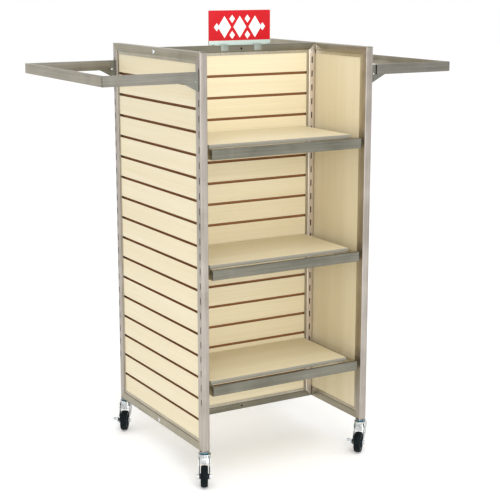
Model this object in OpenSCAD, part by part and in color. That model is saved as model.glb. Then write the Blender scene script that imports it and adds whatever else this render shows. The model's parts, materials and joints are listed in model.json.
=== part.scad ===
// Mobile H-plan slatwall merchandiser: two framed end panels joined by a framed
// centre panel, three lift-off shelves, two outward hangrails, a sign and four casters.
// Millimetres, +Z up. Origin on the floor under the middle of the unit, front at -Y.

/* [Unit] */
// Width across the outside of the two end frames
unit_w = 680; // [560:1:900]
// Depth of the end frames, front to back
unit_d = 676; // [520:1:900]
// Height of the frames, without casters
frame_h = 1358; // [1100:1:1700]
// Floor to the underside of the frames
caster_h = 118; // [108:1:140]

/* [Tubes] */
// Side of the square tube of the end frames
end_tube = 28; // [24:1:36]
// Side of the square tube of the centre frame
mid_tube = 25; // [22:1:32]
// Wall of the frame tubes
tube_wall = 1.5; // [1.2:0.1:2.4]
// Height of the bar tube of shelves and hangrails
bar_h = 35; // [28:1:45]
// Thickness of the bar tube of shelves and hangrails
bar_t = 12.7; // [10:0.1:18]
// Wall of the bar tube
bar_wall = 1.5; // [1.2:0.1:2]

/* [Slots] */
// Distance between slot centres
slot_pitch = 50.8; // [40:0.1:60]
// Length of one slot
slot_len = 24; // [20:0.5:28]
// Width of one slot
slot_w = 4.8; // [4:0.1:6]
// Frame top to the centre of the first slot
slot_top = 62; // [50:1:90]
// Frame bottom to the lowest slot, at least
slot_bottom = 170; // [80:1:260]
// Slot centre to the front or back face of an end post
slot_edge = 8.5; // [7:0.5:12]

/* [Slatwall] */
// Thickness of the slatwall board
panel_t = 19; // [16:0.5:20]
// Outer face of a tube to the face of the slatwall
panel_recess = 6; // [3:0.5:6]
// Distance between groove centres
slat_pitch = 76.2; // [60:0.1:110]
// Height of a groove mouth
groove_mouth = 9.5; // [8:0.5:14]
// Height of the wide part behind the mouth
groove_inner = 19; // [15:0.5:26]
// Depth of a groove from the face
groove_depth = 11; // [9:0.5:12]
// Thickness of the lips in front of the wide part
groove_lip = 4.5; // [3:0.5:6]

/* [Panel channel] */
// Lip of the channel over the edge of the board
channel_lip = 9; // [6:0.5:14]
// Sheet thickness of the channel
channel_t = 1.2; // [0.8:0.1:1.6]
// Gap between the board and the channel
channel_gap = 0.4; // [0.2:0.1:0.8]

/* [Shelves] */
// Height between two shelves, as a share of the slotted height
shelf_share = 0.35; // [0.2:0.01:0.4]
// Side of the shelf frame to the edge of the board, with the board centred
board_side_gap = 18; // [15:1:80]
// Thickness of the shelf board
board_t = 12.7; // [10:0.1:20]
// Front of the bar to the front edge of the board
board_setback = 24; // [14:1:40]
// Sideways place of the board on its frame
board_shift = -14; // [-15:1:15]
// Width of a cross strap under the board
strap_w = 25; // [15:1:40]
// Thickness of a cross strap
strap_t = 3; // [2:0.5:5]

/* [Hangrails] */
// Reach of a hangrail from the end frame
rail_reach = 340; // [220:1:420]
// Gap between the bar tube and the post, bridged by the bracket plate
rail_gap = 20; // [12:1:30]
// Length of the bracket plate inside the bar tube
plate_insert = 45; // [30:1:70]

/* [Brackets] */
// Thickness of the hooked bracket plates
plate_t = 2.5; // [2:0.1:3.5]
// Height of a hook where it passes through a slot
hook_neck = 11; // [9:0.5:12]
// How far a hook hangs down behind the wall
hook_drop = 9; // [7:0.5:10]
// How far the gusset runs out under the bar
gusset = 58; // [35:1:80]

/* [Sign] */
// Width of the sign card
sign_w = 250; // [150:1:320]
// Height of the sign card
sign_h = 116; // [80:1:220]
// Thickness of the sign card
sign_t = 3; // [2:0.5:5]
// Length of the sign's clip plate on the top rail
sign_plate = 212; // [120:1:300]

/* [Casters] */
// Diameter of the wheel
wheel_d = 76; // [65:1:80]
// Width of the tyre
wheel_w = 24; // [18:1:28]
// Offset of the axle from the swivel axis
trail = 32; // [24:1:40]
// Diameter of the axle bolt
axle_d = 8; // [6:0.5:10]
// Diameter of the kingpin that the fork swivels on
kingpin_d = 12; // [10:0.5:14]
// Thickness of the fork sheet
fork_t = 3; // [2:0.5:4]
// Running clearance of axles and kingpins, on the radius
run_gap = 0.06; // [0.02:0.01:0.1]

/* [Hidden] */

$fn = 48;
STEEL = [0.73, 0.71, 0.66];
ZINC = [0.82, 0.83, 0.84];
MAPLE = [0.88, 0.83, 0.69];
BLACK = [0.07, 0.07, 0.08];
RED = [0.78, 0.09, 0.14];

// How far a cut runs past the face it starts from
over = 1;
frame_top = caster_h + frame_h;
bay_w = unit_w - 2 * end_tube;
post_x = (unit_w - end_tube) / 2;
post_y = (unit_d - end_tube) / 2;

// Slots: the first is slot 0, and the count follows the frame's height
slot_count = floor((frame_h - slot_top - slot_bottom) / slot_pitch) + 1;
function slot_z(i) = frame_top - slot_top - i * slot_pitch;
post_slot_y = unit_d / 2 - slot_edge;
standard_x = (bay_w - mid_tube) / 2;

// Shelves 0, 1 and 2 count down; the lowest hooks into the last two slots.
shelf_step = round(slot_count * shelf_share);
function shelf_z(level) = slot_z(slot_count - 2 - (2 - level) * shelf_step);

// ---- Frame tubes ----

bolt_d = 8;
bolt_hole_d = bolt_d + 0.6;
bolt_head_d = 15;
bolt_head_t = 4;
bolt_nut_d = 15;
bolt_nut_t = 6.5;
bolt_tail = 2;
bolt_zs = [caster_h + end_tube / 2, frame_top - end_tube / 2];
accessory_hole_d = 8;
stem_len = 34;
stem_hole_d = kingpin_d + 0.4;

// One side of a mitred frame, along +X with its outer edge on Y = 0 and its face on Z = 0.
module mitred_tube(length, side) {
    difference() {
        linear_extrude(side)
            polygon([[0, 0], [length, 0], [length - side, side], [side, side]]);
        translate([-over, tube_wall, tube_wall])
            cube([length + 2 * over, side - 2 * tube_wall, side - 2 * tube_wall]);
    }
}

// A rounded slot in the XY plane, long along Y.
module slot_outline(length, width) {
    flat = length - width;
    square([width, flat], center = true);
    for (y = [-1, 1]) translate([0, y * flat / 2]) circle(d = width);
}

// The column of slots through a wall whose outer face is Y = 0 and inside is +Y.
module slot_column() {
    for (i = [0 : slot_count - 1])
        translate([0, tube_wall + over, slot_z(i)]) rotate([90, 0, 0])
            linear_extrude(tube_wall + 2 * over) slot_outline(slot_len, slot_w);
}

// Flips what is drawn for the frame's bottom to its top.
module flip_to_top(top) {
    translate([0, 0, top ? caster_h + frame_top : 0]) mirror([0, 0, top ? 1 : 0]) children();
}
// Draws for the left of the unit, and mirrors it to the right.
module side(left) { mirror([left ? 0 : 1, 0, 0]) children(); }
// Draws for the front of the unit, and mirrors it to the rear.
module depth_end(front) { mirror([0, front ? 0 : 1, 0]) children(); }

module stem_hole() {
    translate([-post_x, -post_y, caster_h - over]) cylinder(d = stem_hole_d, h = stem_len + over);
}
// The holes for the bolts that join the centre frame to an end frame.
module bolt_holes(x, length) {
    for (z = bolt_zs) translate([x - over, 0, z]) rotate([0, 90, 0])
        cylinder(d = bolt_hole_d, h = length + 2 * over);
}

module end_post(left, front) {
    color(STEEL) side(left) depth_end(front) difference() {
        translate([-unit_w / 2 + end_tube, -unit_d / 2, caster_h])
            rotate([0, -90, 0]) mitred_tube(frame_h, end_tube);
        translate([-unit_w / 2, -post_slot_y, 0]) rotate([0, 0, -90]) slot_column();
        stem_hole();
    }
}

module end_rail(left, top) {
    color(STEEL) side(left) difference() {
        flip_to_top(top) translate([-unit_w / 2, -unit_d / 2, caster_h])
            rotate([90, 0, 90]) mitred_tube(unit_d, end_tube);
        bolt_holes(-unit_w / 2, end_tube);
        for (front = [true, false]) depth_end(front) stem_hole();
    }
}

module standard(left) {
    color(STEEL) side(left) difference() {
        translate([-bay_w / 2, -mid_tube / 2, caster_h])
            rotate([0, -90, -90]) mitred_tube(frame_h, mid_tube);
        for (front = [true, false]) depth_end(front)
            translate([-standard_x, -mid_tube / 2, 0]) slot_column();
        bolt_holes(-bay_w / 2, tube_wall);
    }
}

module centre_rail(top) {
    color(STEEL) flip_to_top(top) difference() {
        translate([-bay_w / 2, mid_tube / 2, caster_h])
            rotate([90, 0, 0]) mitred_tube(bay_w, mid_tube);
        translate([0, mid_tube / 2 + over, caster_h + mid_tube / 2]) rotate([90, 0, 0])
            cylinder(d = accessory_hole_d, h = mid_tube + 2 * over);
    }
}

// Four bolts: a round head outside each end rail, a nut inside the centre frame.
module frame_bolts() {
    grip = end_tube + tube_wall;
    color(ZINC) for (left = [true, false], z = bolt_zs) side(left)
        translate([-unit_w / 2, 0, z]) rotate([0, 90, 0]) {
            translate([0, 0, -bolt_head_t]) cylinder(d = bolt_head_d, h = bolt_head_t);
            cylinder(d = bolt_d, h = grip + bolt_nut_t + bolt_tail);
            translate([0, 0, grip]) cylinder(d = bolt_nut_d, h = bolt_nut_t, $fn = 6);
        }
}

// ---- Slatwall boards and their channels ----

channel_out = panel_t + 2 * (channel_gap + channel_t);
channel_deep = channel_lip + channel_t;
end_open_w = unit_d - 2 * end_tube;
end_open_h = frame_h - 2 * end_tube;
mid_open_w = bay_w - 2 * mid_tube;
mid_open_h = frame_h - 2 * mid_tube;

// A U channel along +X, its back on Y = 0 and its mouth towards +Y, centred on Z = 0.
module channel(length) {
    translate([0, 0, -channel_out / 2]) difference() {
        cube([length, channel_deep, channel_out]);
        translate([-over, channel_t, channel_t])
            cube([length + 2 * over, channel_deep, channel_out - 2 * channel_t]);
    }
}

// The four channels of an opening w by h, round a board whose face is on Y = 0.
module channel_ring(w, h) {
    translate([0, panel_t / 2, 0]) {
        for (left = [true, false]) side(left)
            translate([-w / 2, 0, 0]) rotate([0, -90, -90]) channel(h);
        for (up = [0, 1]) translate([-w / 2 + channel_deep, 0, up * h])
            mirror([0, 0, up]) rotate([90, 0, 0]) channel(w - 2 * channel_deep);
    }
}

// A slatwall board for an opening w by h, its face on Y = 0 and its back at +Y.
module slatwall(w, h) {
    edge = channel_t + channel_gap;
    board_h = h - 2 * edge;
    grooves = round(board_h / slat_pitch) - 1;
    lowest = (h - (grooves - 1) * slat_pitch) / 2;
    difference() {
        translate([-w / 2 + edge, 0, edge]) cube([w - 2 * edge, panel_t, board_h]);
        for (i = [0 : grooves - 1]) translate([-w / 2, 0, lowest + i * slat_pitch]) {
            translate([0, -over, -groove_mouth / 2])
                cube([w, groove_depth + over, groove_mouth]);
            translate([0, groove_lip, -groove_inner / 2])
                cube([w, groove_depth - groove_lip, groove_inner]);
        }
    }
}

// Sets what is drawn facing -Y into an end frame, facing out, or into the centre frame.
module in_end(left) {
    side(left) translate([-unit_w / 2 + panel_recess, 0, caster_h + end_tube])
        rotate([0, 0, -90]) children();
}
module in_centre() { translate([0, -panel_t / 2, caster_h + mid_tube]) children(); }

module end_channels(left) {
    color(STEEL) in_end(left) channel_ring(end_open_w, end_open_h);
}
module end_slatwall(left) {
    color(MAPLE) in_end(left) slatwall(end_open_w, end_open_h);
}
module centre_channels() {
    color(STEEL) in_centre() channel_ring(mid_open_w, mid_open_h);
}
module centre_slatwall() {
    color(MAPLE) in_centre() slatwall(mid_open_w, mid_open_h);
}

// ---- Hooked bracket plates ----

hook_seat = 0.5;
hook_gap = 0.5;
hook_tip = 3;
plate_gap = 0.3;
plate_foot = 2;
plate_h = slot_pitch + slot_len / 2 + plate_foot;
plate_hole_d = 6;

// Two hooks, a slot pitch apart: the post's face on X = 0, the top slot's centre on Y = 0.
module hook_outlines() {
    neck_bottom = -slot_len / 2 + hook_seat;
    behind = tube_wall + hook_gap;
    for (i = [0, 1]) translate([0, -i * slot_pitch]) {
        translate([-behind - hook_tip, neck_bottom])
            square([behind + hook_tip + plate_gap + over, hook_neck]);
        translate([-behind - hook_tip, neck_bottom - hook_drop])
            square([hook_tip, hook_drop + over]);
    }
}

// Hangrail bracket: a plate from the post into the end of the bar, with a gusset under it.
module rail_plate() {
    far = rail_gap + plate_insert;
    linear_extrude(plate_t, center = true) difference() {
        union() {
            polygon([
                [plate_gap, 0], [rail_gap, 0], [rail_gap, -bar_wall], [far, -bar_wall],
                [far, -bar_h + bar_wall], [rail_gap, -bar_h + bar_wall], [rail_gap, -bar_h],
                [gusset, -bar_h], [plate_gap, -plate_h]
            ]);
            hook_outlines();
        }
        translate([rail_gap / 2, -bar_h + plate_hole_d / 2]) circle(d = plate_hole_d);
    }
}

// Shelf bracket: a plate on the outside of the arm.
module shelf_plate() {
    linear_extrude(plate_t, center = true) {
        polygon([[plate_gap, 0], [gusset, 0], [gusset, -bar_h / 2], [plate_gap, -plate_h]]);
        hook_outlines();
    }
}

// ---- Hangrails ----

rail_arm_y = post_slot_y + bar_t / 2;
rail_out_x = unit_w / 2 + rail_reach;

// A length of bar tube along +X, outer face on Y = 0 and underside on Z = 0.
module bar(length, mitre_start, mitre_end) {
    difference() {
        linear_extrude(bar_h) polygon([
            [0, 0], [length, 0],
            [length - (mitre_end ? bar_t : 0), bar_t], [mitre_start ? bar_t : 0, bar_t]
        ]);
        translate([-over, bar_wall, bar_wall])
            cube([length + 2 * over, bar_t - 2 * bar_wall, bar_h - 2 * bar_wall]);
    }
}

// U-shaped rail: a cross bar and two arms, mitred and welded.
module hangrail_bar(left) {
    color(STEEL) side(left) translate([0, 0, slot_z(0) - bar_h]) {
        translate([-rail_out_x, rail_arm_y, 0]) rotate([0, 0, -90])
            bar(2 * rail_arm_y, true, true);
        for (front = [true, false]) depth_end(front)
            translate([-rail_out_x, -rail_arm_y, 0]) bar(rail_reach - rail_gap, true, false);
    }
}
module hangrail_bracket(left, front) {
    color(STEEL) side(left) depth_end(front)
        translate([-unit_w / 2, -post_slot_y, slot_z(0)])
            mirror([1, 0, 0]) rotate([90, 0, 0]) rail_plate();
}

// ---- Shelves ----

shelf_front_y = -unit_d / 2;
shelf_back_y = -mid_tube / 2 - plate_gap;
shelf_depth = shelf_back_y - shelf_front_y;
shelf_half = standard_x - plate_t / 2;
board_w = 2 * (shelf_half - board_side_gap);
strap_count = 2;
arm_slot_y = 58;
arm_slot_w = 7;
arm_slot_side = 4.5;
board_back_gap = 6;
strap_weld = 0.5;

// U-shaped shelf rail with two cross straps and a hooked plate on each arm.
module shelf_frame(level) {
    z = shelf_z(level);
    strap_x = shelf_half - bar_t + strap_weld;
    color(STEEL) difference() {
        union() {
            translate([-shelf_half, shelf_front_y, z - bar_h]) bar(2 * shelf_half, true, true);
            for (left = [true, false]) side(left) {
                translate([-shelf_half, shelf_back_y, z - bar_h]) rotate([0, 0, -90])
                    bar(shelf_depth, false, true);
                translate([-standard_x, -mid_tube / 2, z]) rotate([90, 0, -90]) shelf_plate();
            }
            for (i = [1 : strap_count])
                translate([-strap_x, shelf_front_y + i * shelf_depth / (strap_count + 1), z - strap_t])
                    cube([2 * strap_x, strap_w, strap_t]);
        }
        for (left = [true, false]) side(left)
            translate([-shelf_half - over, shelf_front_y + arm_slot_y, z - bar_h / 2])
                rotate([90, 0, 90]) linear_extrude(bar_wall + 2 * over)
                    slot_outline(bar_h - 2 * arm_slot_side, arm_slot_w);
    }
}

module shelf_board(level) {
    color(MAPLE)
        translate([board_shift - board_w / 2, shelf_front_y + board_setback, shelf_z(level)])
            cube([board_w, shelf_depth - board_setback - board_back_gap, board_t]);
}

// ---- Sign ----

sign_seat = 5;
holder_t = 1.5;
holder_lip = 11;
card_gap = 0.1;
clip_w = 30;
clip_h = 20;
clip_x = 68;
clip_t = 1.2;
clip_reach = 9;

module sign_card() {
    color(RED) translate([-sign_w / 2, -sign_t / 2, frame_top + sign_seat])
        cube([sign_w, sign_t, sign_h]);
}

// A base strip on the top rail with a U channel that the card drops into.
module sign_holder() {
    wide = sign_t + 2 * (card_gap + holder_t);
    color(ZINC) difference() {
        union() {
            translate([-sign_plate / 2, -mid_tube / 2 + over, frame_top])
                cube([sign_plate, mid_tube - 2 * over, holder_t]);
            translate([-sign_w / 2, -wide / 2, frame_top + holder_t])
                cube([sign_w, wide, sign_seat - holder_t + holder_lip]);
        }
        translate([-sign_w / 2 - over, -wide / 2 + holder_t, frame_top + sign_seat])
            cube([sign_w + 2 * over, wide - 2 * holder_t, holder_lip + over]);
    }
}

// Two spring clips that fold over the rail and hold the base strip down.
module sign_clips() {
    color(ZINC) for (x = [-clip_x, clip_x])
        translate([x - clip_w / 2, -mid_tube / 2 - clip_t, frame_top - clip_h]) {
            cube([clip_w, clip_t, clip_h + holder_t + clip_t]);
            translate([0, 0, clip_h + holder_t]) cube([clip_w, clip_reach, clip_t]);
        }
}

// ---- Casters: each is drawn on its swivel axis, with the wheel trailing along +X ----

axle_z = wheel_d / 2;
cup_d = 36;
cup_t = 5;
race_gap = 0.6;
crown_d = 46;
crown_t = 6;
crown_top = caster_h - cup_t - race_gap;
crown_bottom = crown_top - crown_t;
rivet_d = 22;
rivet_t = 2.5;
fork_side = 4;
fork_inner = wheel_w + 2 * fork_side;
fork_eye_d = 22;
leg_lead = 18;
leg_rear = 20;
leg_tuck = 0.3;
tyre_t = 11;
tread_r = 4;
hub_d = wheel_d - 2 * tyre_t;
hub_rim = 4;
hub_inset = 1;
hub_web = 10;
boss_d = 20;
boss_gap = 0.3;
axle_head_d = 15;
axle_head_t = 5;
axle_nut_t = 7;
lever_t = 3;
lever_gap = 0.2;
lever_up = 25;
lever_len = 34;
lever_w = 14;
pedal_out = 18;

// Which corner a caster is at, whether it has a brake, and the heading of its trailing wheel
function caster_left(c) = c == "left_front" || c == "left_rear";
function caster_front(c) = c == "left_front" || c == "right_front";
function caster_braked(c) = c == "left_rear" || c == "right_front";
function caster_heading(c) =
    c == "left_front" ? -120 : c == "left_rear" ? -125 : c == "right_front" ? -136 : 60;

module at_caster(c) {
    translate([(caster_left(c) ? -1 : 1) * post_x, (caster_front(c) ? -1 : 1) * post_y, 0])
        rotate([0, 0, caster_heading(c)]) children();
}

// Screwed into the post: stem, upper race cup and the riveted kingpin.
module caster_stem(c) {
    rivet_top = crown_bottom - race_gap;
    color(ZINC) at_caster(c) {
        translate([0, 0, rivet_top]) cylinder(d = kingpin_d, h = caster_h + stem_len - rivet_top);
        translate([0, 0, caster_h - cup_t]) cylinder(d = cup_d, h = cup_t);
        translate([0, 0, rivet_top - rivet_t]) cylinder(d = rivet_d, h = rivet_t);
    }
}

// Where a line from p touches a circle about c, on the side given by 1 or -1.
function touch(p, c, radius, hand) =
    let (out = p - c, a = atan2(out[1], out[0]) + hand * acos(radius / norm(out)))
    c + radius * [cos(a), sin(a)];

// One fork leg in the XZ plane: wide at the crown, swept back to a round eye.
module leg_outline() {
    eye = [trail, axle_z];
    lead = [-leg_lead, crown_bottom + over];
    rear = [leg_rear, crown_bottom + over];
    inside = fork_eye_d / 2 - leg_tuck;
    polygon([lead, rear, touch(rear, eye, inside, -1), eye, touch(lead, eye, inside, 1)]);
    translate(eye) circle(d = fork_eye_d);
}
module caster_fork(c) {
    color(ZINC) at_caster(c) difference() {
        union() {
            translate([0, 0, crown_bottom]) cylinder(d = crown_d, h = crown_t);
            for (front = [true, false]) depth_end(front)
                translate([0, -fork_inner / 2, 0]) rotate([90, 0, 0])
                    linear_extrude(fork_t) leg_outline();
        }
        translate([0, 0, crown_bottom - over])
            cylinder(d = kingpin_d + 2 * run_gap, h = crown_t + 2 * over);
        translate([trail, 0, axle_z]) rotate([90, 0, 0])
            cylinder(d = axle_d, h = 2 * fork_inner, center = true);
    }
}

// Axle bolt: the head on one leg and the nut on the other, outside the brake lever.
module caster_axle(c) {
    leg = fork_inner / 2 + fork_t;
    nut_y = leg + (caster_braked(c) ? lever_t + 2 * lever_gap : 0);
    color(ZINC) at_caster(c) translate([trail, 0, axle_z]) rotate([90, 0, 0]) {
        translate([0, 0, -leg - axle_head_t]) cylinder(d = axle_head_d, h = axle_head_t, $fn = 6);
        translate([0, 0, -leg]) cylinder(d = axle_d, h = leg + nut_y + axle_nut_t);
        translate([0, 0, nut_y]) cylinder(d = axle_head_d, h = axle_nut_t, $fn = 6);
    }
}

module caster_hub(c) {
    color(BLACK) at_caster(c) translate([trail, 0, axle_z]) rotate([90, 0, 0]) difference() {
        union() {
            cylinder(d = hub_d, h = wheel_w - 2 * hub_inset, center = true);
            cylinder(d = boss_d, h = fork_inner - 2 * boss_gap, center = true);
        }
        for (near = [0, 1]) mirror([0, 0, near]) translate([0, 0, hub_web / 2]) difference() {
            cylinder(d = hub_d - 2 * hub_rim, h = wheel_w);
            translate([0, 0, -over]) cylinder(d = boss_d, h = wheel_w + 2 * over);
        }
        cylinder(d = axle_d + 2 * run_gap, h = 2 * wheel_w, center = true);
    }
}

module caster_tyre(c) {
    color(BLACK) at_caster(c) translate([trail, 0, axle_z]) rotate([90, 0, 0])
        rotate_extrude($fn = 96) translate([hub_d / 2, 0]) {
            square_y = wheel_w / 2;
            translate([0, -square_y]) square([tyre_t - tread_r, wheel_w]);
            translate([0, -square_y + tread_r]) square([tyre_t, wheel_w - 2 * tread_r]);
            for (y = [-1, 1]) translate([tyre_t - tread_r, y * (square_y - tread_r)])
                circle(r = tread_r);
        }
}

// Side brake: a lever that turns on the axle outside one leg, its pedal bent outwards.
module caster_brake(c) {
    leg = fork_inner / 2 + fork_t + lever_gap;
    color(ZINC) at_caster(c) translate([trail, 0, axle_z]) rotate([0, -lever_up, 0])
        difference() {
            union() {
                translate([0, -leg, 0]) rotate([90, 0, 0]) {
                    cylinder(d = fork_eye_d, h = lever_t);
                    translate([0, -lever_w / 2, 0]) cube([lever_len, lever_w, lever_t]);
                }
                translate([lever_len - lever_w, -leg - pedal_out, lever_w / 2 - lever_t])
                    cube([lever_w, pedal_out, lever_t]);
            }
            rotate([90, 0, 0]) cylinder(d = axle_d + 2 * run_gap, h = 4 * wheel_w, center = true);
        }
}

// ---- Nodes ----

end_post(true, true);  // left_front_post
end_post(true, false);  // left_rear_post
end_rail(true, true);  // left_top_rail
end_rail(true, false);  // left_bottom_rail
end_channels(true);  // left_panel_channels
end_slatwall(true);  // left_slatwall
standard(true);  // centre_left_standard
end_post(false, true);  // right_front_post
end_post(false, false);  // right_rear_post
end_rail(false, true);  // right_top_rail
end_rail(false, false);  // right_bottom_rail
end_channels(false);  // right_panel_channels
end_slatwall(false);  // right_slatwall
standard(false);  // centre_right_standard
centre_rail(true);  // centre_top_rail
centre_rail(false);  // centre_bottom_rail
centre_channels();  // centre_panel_channels
centre_slatwall();
frame_bolts();
shelf_frame(0);  // upper_shelf_frame
shelf_board(0);  // upper_shelf_board
shelf_frame(1);  // middle_shelf_frame
shelf_board(1);  // middle_shelf_board
shelf_frame(2);  // lower_shelf_frame
shelf_board(2);  // lower_shelf_board
hangrail_bar(true);  // left_hangrail_bar
hangrail_bracket(true, true);  // left_front_bracket
hangrail_bracket(true, false);  // left_rear_bracket
hangrail_bar(false);  // right_hangrail_bar
hangrail_bracket(false, true);  // right_front_bracket
hangrail_bracket(false, false);  // right_rear_bracket
sign_card();
sign_holder();
sign_clips();
caster_stem("left_front");  // left_front_stem
caster_fork("left_front");  // left_front_fork
caster_axle("left_front");  // left_front_axle
caster_hub("left_front");  // left_front_hub
caster_tyre("left_front");  // left_front_tyre
caster_stem("left_rear");  // left_rear_stem
caster_fork("left_rear");  // left_rear_fork
caster_axle("left_rear");  // left_rear_axle
caster_hub("left_rear");  // left_rear_hub
caster_tyre("left_rear");  // left_rear_tyre
caster_stem("right_front");  // right_front_stem
caster_fork("right_front");  // right_front_fork
caster_axle("right_front");  // right_front_axle
caster_hub("right_front");  // right_front_hub
caster_tyre("right_front");  // right_front_tyre
caster_stem("right_rear");  // right_rear_stem
caster_fork("right_rear");  // right_rear_fork
caster_axle("right_rear");  // right_rear_axle
caster_hub("right_rear");  // right_rear_hub
caster_tyre("right_rear");  // right_rear_tyre
caster_brake("left_rear");  // left_rear_brake
caster_brake("right_front");  // right_front_brake
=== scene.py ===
import json
import math

import bmesh
import bpy
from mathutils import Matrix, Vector


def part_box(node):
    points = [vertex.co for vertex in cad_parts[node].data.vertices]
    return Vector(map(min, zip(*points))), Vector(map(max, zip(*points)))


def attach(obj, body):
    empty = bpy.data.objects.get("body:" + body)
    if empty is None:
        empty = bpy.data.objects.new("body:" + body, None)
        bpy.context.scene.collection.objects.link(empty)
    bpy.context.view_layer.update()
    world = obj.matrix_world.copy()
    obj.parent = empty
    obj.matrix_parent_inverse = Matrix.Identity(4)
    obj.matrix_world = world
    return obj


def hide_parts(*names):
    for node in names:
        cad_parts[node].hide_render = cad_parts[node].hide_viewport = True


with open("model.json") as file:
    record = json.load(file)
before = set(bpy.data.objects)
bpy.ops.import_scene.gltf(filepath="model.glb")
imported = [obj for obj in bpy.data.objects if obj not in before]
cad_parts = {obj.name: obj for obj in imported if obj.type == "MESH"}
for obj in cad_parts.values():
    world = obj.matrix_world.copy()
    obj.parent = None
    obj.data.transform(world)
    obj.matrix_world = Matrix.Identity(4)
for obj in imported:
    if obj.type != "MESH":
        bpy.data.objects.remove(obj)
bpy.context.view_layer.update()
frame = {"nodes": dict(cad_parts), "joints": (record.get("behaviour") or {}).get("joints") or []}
nodes = frame["nodes"]
MM = 0.001
TOUCHING = 1e-6
NEAR = 1e-5
SMOOTH_ANGLE = math.radians(35)
TURNED_ANGLE = math.radians(30)
X, Y, Z = 0, 1, 2
UNIT = [Vector((1, 0, 0)), Vector((0, 1, 0)), Vector((0, 0, 1))]


# ---- End frame tubes ----
# Four lengths of 28 mm square steel tube make each end frame. They are mitred, welded at the
# corners, ground, brushed along their length and nickel plated to a satin finish. The posts
# have a column of slots near their outer edge for hooked brackets.
TUBE_WALL = 1.5 * MM
TUBE_CORNER = 2.6 * MM
SLOT_PITCH = 50.8 * MM
SLOT_LENGTH = 24 * MM
SLOT_WIDTH = 4.8 * MM
SLOT_EDGE = 8.5 * MM
SLOT_TOP = 62 * MM
SLOT_COUNT = 23


def paint(red, green, blue):
    """A colour from a paint chart, 0 to 255 for each part, as shaders take it."""
    return tuple(((part / 255 + 0.055) / 1.055) ** 2.4 for part in (red, green, blue)) + (1,)


class Port:
    """An output of a shader node, which takes part in sums."""

    def __init__(self, finish, socket):
        self.finish, self.socket = finish, socket

    def maths(self, operation, *values):
        return self.finish.node(
            "ShaderNodeMath", {"operation": operation}, dict(enumerate(values))
        )

    def __add__(self, other):
        return self.maths("ADD", self, other)

    def __sub__(self, other):
        return self.maths("SUBTRACT", self, other)

    def __rsub__(self, other):
        return self.maths("SUBTRACT", other, self)

    def __mul__(self, other):
        return self.maths("MULTIPLY", self, other)

    def __truediv__(self, other):
        return self.maths("DIVIDE", self, other)

    def __lt__(self, other):
        return self.maths("LESS_THAN", self, other)

    def __gt__(self, other):
        return self.maths("GREATER_THAN", self, other)

    def __abs__(self):
        return self.maths("ABSOLUTE", self)

    __radd__ = __add__
    __rmul__ = __mul__


class Finish:
    """A material under construction. `place` is where a point is on the finished unit."""

    def __init__(self, name, **constants):
        self.material = bpy.data.materials.new(name)
        self.material.use_nodes = True
        self.tree = self.material.node_tree
        self.shader = self.tree.nodes["Principled BSDF"]
        for socket, value in constants.items():
            self.shader.inputs[socket.replace("_", " ")].default_value = value
        self.place = self.node("ShaderNodeTexCoord", output="Object")

    def node(self, kind, settings=None, sockets=None, output=0):
        made = self.tree.nodes.new(kind)
        for name, value in (settings or {}).items():
            setattr(made, name, value)
        for name, value in (sockets or {}).items():
            if isinstance(value, Port):
                self.tree.links.new(value.socket, made.inputs[name])
            else:
                made.inputs[name].default_value = value
        return Port(self, made.outputs[output])

    def axis(self, index):
        return self.node("ShaderNodeSeparateXYZ", None, {0: self.place}, output=index)

    def noise(self, scale, detail=3.0, warp=0.0):
        """Noise from 0 to 1, with its own scale along X, Y and Z, in waves to the metre."""
        where = self.node("ShaderNodeMapping", None, {"Vector": self.place, "Scale": scale})
        sockets = {"Vector": where, "Scale": 1.0, "Detail": detail, "Distortion": warp}
        return self.node("ShaderNodeTexNoise", None, sockets)

    def mixed(self, factor, first, second):
        sockets = {0: factor, 6: first, 7: second}
        return self.node("ShaderNodeMix", {"data_type": "RGBA"}, sockets, output=2)

    def feed(self, socket, port):
        self.tree.links.new(port.socket, self.shader.inputs[socket])

    def relief(self, height, depth):
        """Bumps as deep as the height goes from 0 to 1, in metres."""
        sockets = {"Height": height, "Distance": depth, "Strength": 1.0}
        self.feed("Normal", self.node("ShaderNodeBump", None, sockets))


def brushed_nickel(name, along, light, dark, rough=0.3):
    """Satin nickel plate over steel that was brushed along one axis."""
    finish = Finish(name, Metallic=1.0)
    streak_scale = [1100.0, 1100.0, 1100.0]
    streak_scale[along] = 9.0
    band_scale = [160.0, 160.0, 160.0]
    band_scale[along] = 2.5
    streaks = finish.noise(streak_scale, 4.0)
    bands = finish.noise(band_scale, 3.0)
    clouds = finish.noise([7.0, 7.0, 7.0], 4.0, 0.6)
    tone = streaks * 0.5 + bands * 0.55 + clouds * 0.8
    finish.feed("Base Color", finish.mixed((tone - 0.55) * 1.4, dark, light))
    finish.feed("Roughness", rough - 0.06 + streaks * 0.14 + clouds * 0.1)
    finish.relief(streaks + bands, 0.00004)
    return finish.material


# The inside of every tube is scaled steel, and is also painted near-black as painted shade for the
# dark inside of the closed tube, which the slots show.
scaled_steel_and_shade = Finish("bare_tube_inside", Metallic=0.3)
scale_and_shade_clouds = scaled_steel_and_shade.noise([60.0] * 3, 4.0)
scaled_steel_and_shade.feed("Base Color", scaled_steel_and_shade.mixed(scale_and_shade_clouds, paint(22, 21, 20), paint(40, 38, 35)))
scaled_steel_and_shade.feed("Roughness", 0.6 + scale_and_shade_clouds * 0.2)


def dress(piece, material):
    """Gives a piece its outside material, or a CAD node a better one in the slots it has."""
    if not piece.material_slots:
        piece.data.materials.append(material)
    for slot in piece.material_slots:
        if slot.material != scaled_steel_and_shade.material:
            slot.material = material


def hold(piece):
    """Selects one piece alone, ready to be worked on."""
    bpy.ops.object.select_all(action="DESELECT")
    piece.select_set(True)
    bpy.context.view_layer.objects.active = piece


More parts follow.
